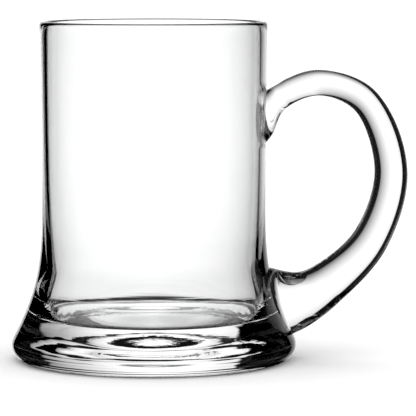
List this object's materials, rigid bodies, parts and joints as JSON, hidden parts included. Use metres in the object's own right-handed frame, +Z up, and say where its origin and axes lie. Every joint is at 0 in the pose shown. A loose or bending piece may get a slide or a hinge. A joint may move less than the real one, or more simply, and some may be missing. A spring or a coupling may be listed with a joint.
{
  "type": "beer mug",
  "caption": "Clear glass beer mug: a blown, slightly waisted bowl flaring into a heavy rounded foot, with a drawn glass loop handle sealed to the bowl's side.",
  "frame": {"origin": "on the surface that the mug stands on, under the middle of the mug's overall length and width; the bowl's axis is 21.6 mm from it towards -X", "axes": "+Z up along the bowl's axis, +X from the bowl towards the handle, Y across the handle's plane of symmetry"},
  "size_m": [0.1535, 0.1104, 0.131],
  "materials": {
    "clear_glass": "polished",
    "handle_glass": "polished"
  },
  "bodies": {
    "root": {"bowl": "clear_glass", "handle": "handle_glass"}
  },
  "joints": []
}
